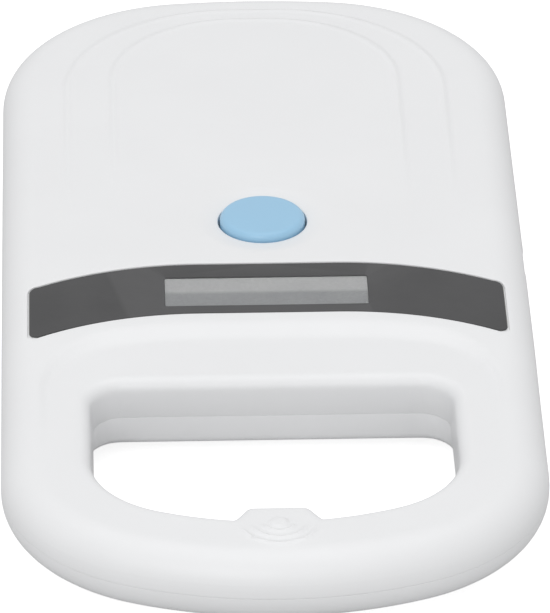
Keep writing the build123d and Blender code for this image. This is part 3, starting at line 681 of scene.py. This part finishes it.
def make_lower_shell():
    s = Surface()
    cap_inset = LOW_FILLET * (1 - math.sin(CAP_SLOPE))
    loop = outer_loop(cap_inset)
    crest = low_height(*outer_loop(LOW_FILLET).T)
    outer = s.ring(loop, low_height(*loop.T))
    steps = [(outer_loop(inset), crest + drop) for inset, drop in fillet_steps(LOW_FILLET, 9, CAP_SLOPE)]
    steps += [(outer_loop(inset), z) for inset, z in rim_steps(-1)]
    s.sweep(outer, steps, flip=True)

    grow = (SPLIT - RING_UNDERSIDE - HOLE_LOW_FILLET) * LOWER_DRAFT
    hole = hole_loop(grow + HOLE_LOW_FILLET)
    hole_z = low_height(*hole.T)
    hole_ring = s.ring(hole, hole_z)
    steps = [(hole_loop(grow + inset), hole_z + drop) for inset, drop in fillet_steps(HOLE_LOW_FILLET, 7)]
    steps += [(hole_loop(inset), z) for inset, z in rim_steps(-1)]
    s.sweep(hole_ring, steps, flip=True)

    bounds, rings = [loop, hole], [outer, hole_ring]
    for side in (-1, 1):
        for x, y, seat in SCREWS:
            edge = circle(side * x, y, COUNTERBORE + COUNTERBORE_EDGE, 40)
            edge_z = low_height(*edge.T)
            ring = s.ring(edge, edge_z)
            rings.append(ring)
            bounds.append(edge)
            steps = [(circle(side * x, y, COUNTERBORE + inset, 40), edge_z + drop)
                     for inset, drop in fillet_steps(COUNTERBORE_EDGE, 3)]
            steps += [(circle(side * x, y, radius, 40), z) for radius, z in (
                (COUNTERBORE, seat), (SCREW_HOLE, seat), (SCREW_HOLE, seat + SCREW_HOLE_DEPTH))]
            s.sweep(ring, steps, flip=True)
    rows = shell_rows((2.7, 3.1, 3.5, 3.9, 4.3, 4.7, 5.1))
    coarse = grid((-HALF_WIDTH, -HALF_LENGTH), (HALF_WIDTH, HALF_LENGTH), LOW_GRID)
    coarse = coarse[inset_of(*coarse.T) > 5.6]
    fine = grid((-HALF_WIDTH, RAMP_Y[0] - 1), (HALF_WIDTH, RAMP_Y[1] + 1), RAMP_GRID)
    fine = fine[inset_of(*fine.T) > 5.6]
    coarse = coarse[(coarse[:, 1] < RAMP_Y[0] - 1.5) | (coarse[:, 1] > RAMP_Y[1] + 1.5)]
    points = np.concatenate([rows, coarse, fine])
    points = points[inside(points, bounds)]
    for edge in bounds[1:]:
        points = clear_of(points, edge, 0.35)
    s.cap(rings, thin(points), low_height, flip=True)
    return thicken(s.mesh("lower_shell"), low_height, -1)


def make_film():
    """Dark display band with its window."""
    s = Surface()
    low, high = BAND_LOW[2], BAND_HIGH[2]
    gap = FILM_SIDE_GAP
    top_ring = s.ring(band_loop(gap + FILM_EDGE, BAND_CORNER), high)
    steps = [(band_loop(gap + inset, BAND_CORNER), high - drop) for inset, drop in fillet_steps(FILM_EDGE, 3)]
    bottom_ring = s.sweep(top_ring, [*steps, (band_loop(gap, BAND_CORNER), low)])
    near, far = WINDOW_OPENING
    edge = WINDOW_CHAMFER
    window_top = s.ring(rectangle(near - edge, far + edge, PANE_CORNER + edge), high)
    window = rectangle(near, far, PANE_CORNER)
    window_low = s.sweep(window_top, [(window, high - edge), (window, low)])
    s.cap([top_ring, window_top])
    s.cap([bottom_ring, window_low], flip=True)
    return s.mesh("display_film")


def make_pane():
    """Clear pane in the band's window, with rounded corners and a soft edge."""
    s = Surface()
    low, high = WINDOW_OPENING[0] + PANE_GAP, WINDOW_OPENING[1] - PANE_GAP
    foot, top = WINDOW_LOW[2] + PANE_GAP, WINDOW_HIGH[2]
    levels = ((PANE_EDGE, top), (0.3 * PANE_EDGE, top - 0.3 * PANE_EDGE), (0.0, top - PANE_EDGE), (0.0, foot))
    loops = [(rectangle(low + inset, high - inset, PANE_CORNER - inset), z) for inset, z in levels]
    first = s.ring(*loops[0])
    last = s.sweep(first, loops[1:], flip=True)
    s.cap([first])
    s.cap([last], flip=True)
    return s.mesh("display_pane")


def make_button():
    """Cap turned from its section: slightly domed top, soft edge, retaining flange, hollow inside."""
    top, foot = BUTTON_HIGH[2], BUTTON_LOW[2]
    flange = (BUTTON_HIGH[0] - BUTTON_LOW[0]) / 2
    crown, bore = BUTTON_RADIUS - BUTTON_EDGE, BUTTON_RADIUS - BUTTON_WALL
    shelf = foot + FLANGE_HEIGHT
    section = [(r, top - BUTTON_DOME * (r / crown) ** 2) for r in np.linspace(0.0, crown, 9)[1:]]
    section += [(crown + BUTTON_EDGE * math.sin(a), top - BUTTON_DOME - BUTTON_EDGE * (1 - math.cos(a)))
                for a in np.linspace(0.12, math.pi / 2, 7)]
    section += [(BUTTON_RADIUS, shelf + 0.1), (BUTTON_RADIUS + 0.05, shelf),
                (flange - FLANGE_EDGE, shelf), (flange, shelf - FLANGE_EDGE),
                (flange, foot + FLANGE_EDGE), (flange - FLANGE_EDGE, foot), (bore, foot),
                (bore, top - BUTTON_ROOF - 0.3), (bore - 0.4, top - BUTTON_ROOF),
                (BUTTON_PIN, top - BUTTON_ROOF), (BUTTON_PIN, PIN_FOOT + 0.15), (BUTTON_PIN - 0.15, PIN_FOOT)]
    s = Surface()
    loops = [(circle(0, BUTTON_Y, r, BUTTON_SIDES), z) for r, z in section]
    first = s.ring(*loops[0])
    last = s.sweep(first, loops[1:], flip=True)
    for ring, z, flip in ((first, top, False), (last, PIN_FOOT, True)):
        centre = len(s.points)
        s.points.append((0.0, BUTTON_Y, z))
        for here, after in zip(ring, np.roll(ring, -1)):
            face = (centre, here, after)
            s.faces.append(face[::-1] if flip else face)
    return s.mesh("button_cap")


# ---------------------------------------------------------------- materials

def new_material(name):
    material = bpy.data.materials.new(name)
    material.use_nodes = True
    return material, material.node_tree.nodes, material.node_tree.links


def noise(nodes, links, scale, detail=3.0, roughness=0.55):
    """Noise over object coordinates; scale is in features per metre."""
    place = nodes.new("ShaderNodeTexCoord")
    texture = nodes.new("ShaderNodeTexNoise")
    texture.inputs["Scale"].default_value = scale
    texture.inputs["Detail"].default_value = detail
    texture.inputs["Roughness"].default_value = roughness
    links.new(place.outputs["Object"], texture.inputs["Vector"])
    return texture


def ramp(nodes, links, source, low, high, start=0.3, stop=0.7):
    """Colour or value ramp between two grey levels or colours."""
    node = nodes.new("ShaderNodeValToRGB")
    for element, position, value in zip(node.color_ramp.elements, (start, stop), (low, high)):
        element.position = position
        element.color = (*value, 1.0) if isinstance(value, tuple) else (value, value, value, 1.0)
    links.new(source, node.inputs["Fac"])
    return node.outputs["Color"]


def plastic(name, colour, roughness, grain=6000.0, bump=0.05, variation=0.02, rough_spread=0.06,
            specular=0.5, metallic=0.0, wear_and_highlight=0.0):
    """Moulded or coated surface: colour drift, roughness drift, fine grain and lighter edges, partly wear and
    partly a painted highlight.
    """
    material, nodes, links = new_material(name)
    shader = nodes["Principled BSDF"]
    shader.inputs["Metallic"].default_value = metallic
    shader.inputs["Specular IOR Level"].default_value = specular
    drift = noise(nodes, links, 60.0, 4.0)
    darker = tuple(c * (1 - variation) for c in colour)
    lighter = tuple(min(1.0, c * (1 + variation)) for c in colour)
    tint = ramp(nodes, links, drift.outputs["Fac"], darker, lighter)
    # lighter convex edges: wear, together with a painted highlight where the edges catch the light
    if wear_and_highlight:
        tint = worn_and_highlit(nodes, links, tint, colour, wear_and_highlight)
    links.new(tint, shader.inputs["Base Color"])
    patches = noise(nodes, links, 140.0, 3.0)
    smoothest = max(0.02, roughness - rough_spread)
    rough = ramp(nodes, links, patches.outputs["Fac"], smoothest, roughness + rough_spread)
    links.new(rough, shader.inputs["Roughness"])
    fine = noise(nodes, links, grain, 2.0, 0.6)
    relief = nodes.new("ShaderNodeBump")
    relief.inputs["Strength"].default_value = bump
    relief.inputs["Distance"].default_value = 0.00004
    links.new(fine.outputs["Fac"], relief.inputs["Height"])
    links.new(relief.outputs["Normal"], shader.inputs["Normal"])
    return material


def worn_and_highlit(nodes, links, tint, colour, amount):
    """Mixes in a lighter tone where the surface is strongly convex: wear, together with a painted highlight
    along the edges.
    """
    geometry = nodes.new("ShaderNodeNewGeometry")
    edge = ramp(nodes, links, geometry.outputs["Pointiness"], 0.0, amount, 0.52, 0.60)
    mix = nodes.new("ShaderNodeMix")
    mix.data_type = "RGBA"
    mix.inputs["B"].default_value = (*[min(1.0, c * 1.25 + 0.03) for c in colour], 1.0)
    links.new(edge, mix.inputs["Factor"])
    links.new(tint, mix.inputs["A"])
    return mix.outputs["Result"]


def display_surface():
    """Grey display behind its polariser, with painted light and shade: a lighter far half and a darker near
    half that stand in for how light falls into the window.
    """
    material, nodes, links = new_material("display_grey")
    shader = nodes["Principled BSDF"]
    place = nodes.new("ShaderNodeTexCoord")
    split = nodes.new("ShaderNodeSeparateXYZ")
    links.new(place.outputs["Object"], split.inputs["Vector"])
    spread = nodes.new("ShaderNodeMapRange")
    spread.inputs["From Min"].default_value = (DISPLAY_SPLIT_Y - DISPLAY_BLUR) * MM
    spread.inputs["From Max"].default_value = (DISPLAY_SPLIT_Y + DISPLAY_BLUR) * MM
    links.new(split.outputs["Y"], spread.inputs["Value"])
    # painted light and shade: the far half lighter, the near half darker
    tone = ramp(nodes, links, spread.outputs["Result"], (0.30, 0.305, 0.31), (0.45, 0.45, 0.45), 0.0, 1.0)
    grain = noise(nodes, links, 2500.0, 2.0)
    speckle = ramp(nodes, links, grain.outputs["Fac"], 0.94, 1.06)
    mix = nodes.new("ShaderNodeMix")
    mix.data_type, mix.blend_type = "RGBA", "MULTIPLY"
    mix.inputs["Factor"].default_value = 1.0
    links.new(tone, mix.inputs["A"])
    links.new(speckle, mix.inputs["B"])
    links.new(mix.outputs["Result"], shader.inputs["Base Color"])
    shader.inputs["Roughness"].default_value = 0.35
    return material


def clear_pane():
    """Clear acrylic with faint smears in its gloss."""
    material, nodes, links = new_material("window_clear")
    shader = nodes["Principled BSDF"]
    shader.inputs["Transmission Weight"].default_value = 1.0
    shader.inputs["IOR"].default_value = 1.05
    smears = noise(nodes, links, 300.0, 4.0)
    tint = ramp(nodes, links, smears.outputs["Fac"], (0.96, 0.965, 0.97), (0.985, 0.99, 0.99))
    links.new(tint, shader.inputs["Base Color"])
    rough = ramp(nodes, links, smears.outputs["Fac"], 0.03, 0.08)
    links.new(rough, shader.inputs["Roughness"])
    return material


def banded(name, base, stripe, roughness, period, axis, metallic=0.0, bump=0.4, sharpness=0.2):
    """Regular bands across one axis, such as a winding's turns or a striped connector."""
    material, nodes, links = new_material(name)
    shader = nodes["Principled BSDF"]
    shader.inputs["Metallic"].default_value = metallic
    place = nodes.new("ShaderNodeTexCoord")
    wave = nodes.new("ShaderNodeTexWave")
    wave.bands_direction = axis
    wave.inputs["Scale"].default_value = 1.0 / (period * 6.2832 / 20.0)
    wave.inputs["Distortion"].default_value = 0.6
    links.new(place.outputs["Object"], wave.inputs["Vector"])
    tint = ramp(nodes, links, wave.outputs["Fac"], base, stripe, 0.5 - sharpness, 0.5 + sharpness)
    links.new(tint, shader.inputs["Base Color"])
    patches = noise(nodes, links, 400.0)
    rough = ramp(nodes, links, patches.outputs["Fac"], roughness - 0.05, roughness + 0.08)
    links.new(rough, shader.inputs["Roughness"])
    relief = nodes.new("ShaderNodeBump")
    relief.inputs["Strength"].default_value = bump
    relief.inputs["Distance"].default_value = 0.00005
    links.new(wave.outputs["Fac"], relief.inputs["Height"])
    links.new(relief.outputs["Normal"], shader.inputs["Normal"])
    return material


def board():
    """Green solder mask with paler tracks under it."""
    material, nodes, links = new_material("board_green")
    shader = nodes["Principled BSDF"]
    place = nodes.new("ShaderNodeTexCoord")
    tracks = nodes.new("ShaderNodeTexBrick")
    tracks.inputs["Scale"].default_value = 260.0
    tracks.inputs["Mortar Size"].default_value = 0.03
    tracks.inputs["Color1"].default_value = (0.010, 0.12, 0.045, 1)
    tracks.inputs["Color2"].default_value = (0.012, 0.14, 0.05, 1)
    tracks.inputs["Mortar"].default_value = (0.03, 0.25, 0.09, 1)
    links.new(place.outputs["Object"], tracks.inputs["Vector"])
    links.new(tracks.outputs["Color"], shader.inputs["Base Color"])
    patches = noise(nodes, links, 200.0)
    rough = ramp(nodes, links, patches.outputs["Fac"], 0.22, 0.36)
    links.new(rough, shader.inputs["Roughness"])
    relief = nodes.new("ShaderNodeBump")
    relief.inputs["Strength"].default_value = 0.3
    relief.inputs["Distance"].default_value = 0.00003
    links.new(tracks.outputs["Fac"], relief.inputs["Height"])
    links.new(relief.outputs["Normal"], shader.inputs["Normal"])
    return material


def make_materials():
    """One material for each of the record's slots."""
    white = (0.80, 0.805, 0.815)
    return {
        "shell_white": plastic("shell_white", white, 0.42, grain=4200.0, bump=0.10, variation=0.008),
        "band_dark": plastic("band_dark", (0.076, 0.076, 0.078), 0.68, grain=3500.0, bump=0.25,
                             variation=0.08, specular=0.25, wear_and_highlight=0.35),
        "window_clear": clear_pane(),
        "display_grey": display_surface(),
        "button_blue": plastic("button_blue", (0.315, 0.545, 0.740), 0.34, grain=3800.0, bump=0.08,
                               variation=0.015, wear_and_highlight=0.25),
        "diffuser_white": plastic("diffuser_white", (0.85, 0.86, 0.84), 0.35, variation=0.02),
        "plastic_black": plastic("plastic_black", (0.025, 0.025, 0.027), 0.45, grain=3000.0, bump=0.2,
                                 variation=0.1),
        "rubber_grey": banded("rubber_grey", (0.05, 0.05, 0.055), (0.55, 0.55, 0.56), 0.6, 0.0006, "X"),
        "foam_black": plastic("foam_black", (0.03, 0.03, 0.032), 0.9, grain=1500.0, bump=0.9, variation=0.3),
        "tape_clear": plastic("tape_clear", (0.30, 0.30, 0.29), 0.5, grain=2500.0, bump=0.1),
        "board_green": board(),
        "component_black": plastic("component_black", (0.035, 0.035, 0.04), 0.5, grain=3500.0, bump=0.3,
                                   variation=0.1),
        "ceramic_tan": plastic("ceramic_tan", (0.50, 0.36, 0.22), 0.45, grain=3000.0, bump=0.2,
                               variation=0.1),
        "steel": plastic("steel", (0.60, 0.60, 0.585), 0.28, grain=5000.0, bump=0.15, variation=0.05,
                         metallic=1.0, wear_and_highlight=0.4),
        "foil_silver": plastic("foil_silver", (0.72, 0.72, 0.73), 0.32, grain=900.0, bump=0.5,
                               variation=0.04, metallic=1.0),
        "wire_red": plastic("wire_red", (0.45, 0.03, 0.025), 0.5, grain=2500.0, bump=0.1, variation=0.05),
        "copper": banded("copper", (0.40, 0.14, 0.05), (0.78, 0.36, 0.18), 0.3, 0.0004, "Z", metallic=1.0),
        "connector_white": plastic("connector_white", (0.78, 0.75, 0.66), 0.4, variation=0.03),
    }


def dress(materials):
    """Gives every shown piece the material of its slot."""
    slots = {part["node"]: part["material_slot"] for part in frame["record"]["subparts"]}
    for name, piece in frame["nodes"].items():
        set_material(piece, materials[slots[name]])


def set_material(piece, material):
    piece.data.materials.clear()
    piece.data.materials.append(material)


# ---------------------------------------------------------------- stage

LENS = 423.0
DISTANCE = 1.0273
AZIMUTH, ELEVATION = math.radians(-1.69), math.radians(30.0)
AIM_OFFSET = Vector((1.09, -15.47, 0.0)) * MM
WORLD_STRENGTH = 0.71
OVERHEAD_POWER = 4.3
FRONT_POWER = 3.5
FLOOR_HALF = 3.0
FLOOR_Z = -0.05 * MM      # just clear of the underside
FLOOR_GLOW = 0.8          # seen by the camera only, so that the floor does not light the reader
FLOOR_TONE = 0.62


def make_camera():
    """Long lens looking down on the handle end, as in the photograph."""
    data = bpy.data.cameras.new("camera")
    data.lens, data.sensor_width = LENS, 36.0
    data.clip_start, data.clip_end = 0.05, 20.0
    camera = bpy.data.objects.new("camera", data)
    bpy.context.scene.collection.objects.link(camera)
    back = Vector((math.sin(AZIMUTH) * math.cos(ELEVATION), -math.cos(AZIMUTH) * math.cos(ELEVATION),
                   math.sin(ELEVATION)))
    aim = Vector((0, 0, HEAD_TOP * MM)) + AIM_OFFSET
    camera.location = aim + back * DISTANCE
    camera.rotation_mode = "QUATERNION"
    camera.rotation_quaternion = (-back).to_track_quat("-Z", "Y")
    bpy.context.scene.camera = camera


def area_light(name, place, aim, size, power):
    data = bpy.data.lights.new(name, "AREA")
    data.shape, data.size, data.size_y = "RECTANGLE", size[0], size[1]
    data.energy = power
    light = bpy.data.objects.new(name, data)
    bpy.context.scene.collection.objects.link(light)
    light.location = place
    light.rotation_mode = "QUATERNION"
    light.rotation_quaternion = (Vector(aim) - Vector(place)).to_track_quat("-Z", "Y")


def make_stage():
    """White floor, even white surroundings and two large soft lights."""
    material, nodes, links = new_material("floor_white")
    shader = nodes["Principled BSDF"]
    shader.inputs["Roughness"].default_value = 0.9
    shader.inputs["Specular IOR Level"].default_value = 0.0
    shader.inputs["Emission Color"].default_value = (1, 1, 1, 1)
    seen = nodes.new("ShaderNodeLightPath")
    glow = nodes.new("ShaderNodeMath")
    glow.operation = "MULTIPLY"
    glow.inputs[1].default_value = FLOOR_GLOW
    links.new(seen.outputs["Is Camera Ray"], glow.inputs[0])
    links.new(glow.outputs["Value"], shader.inputs["Emission Strength"])
    mottle = noise(nodes, links, 8.0)
    tint = ramp(nodes, links, mottle.outputs["Fac"], (FLOOR_TONE,) * 3, (FLOOR_TONE + 0.015,) * 3)
    links.new(tint, shader.inputs["Base Color"])
    mesh = bpy.data.meshes.new("floor")
    half = FLOOR_HALF
    corners = [(-half, -half), (half, -half), (half, half), (-half, half)]
    mesh.from_pydata([(x, y, FLOOR_Z) for x, y in corners], [], [(0, 1, 2, 3)])
    mesh.materials.append(material)
    floor = bpy.data.objects.new("floor", mesh)
    bpy.context.scene.collection.objects.link(floor)
    world = bpy.data.worlds.new("surroundings")
    bpy.context.scene.world = world
    world.use_nodes = True
    world.node_tree.nodes["Background"].inputs["Color"].default_value = (1, 1, 1, 1)
    world.node_tree.nodes["Background"].inputs["Strength"].default_value = WORLD_STRENGTH
    area_light("overhead", (0, 0.1, 1.3), (0, 0, 0), (1.2, 1.2), OVERHEAD_POWER)
    area_light("front", (-0.25, -1.0, 0.8), (0, 0, 0), (0.7, 0.5), FRONT_POWER)
    bpy.context.scene.view_settings.view_transform = "Standard"


def main():
    make_camera()
    make_stage()
    materials = make_materials()
    dress(materials)
    for name, make, node, slot, body in (
            ("upper_shell", make_upper_shell, "upper_cover", "shell_white", "housing"),
            ("lower_shell", make_lower_shell, "lower_cover", "shell_white", "housing"),
            ("display_film", make_film, "display_bezel", "band_dark", "housing"),
            ("display_pane", make_pane, "display_window", "window_clear", "housing"),
            ("button_cap", make_button, "scan_button", "button_blue", "button")):
        set_material(add_object(name, make(), node, body), materials[slot])


main()
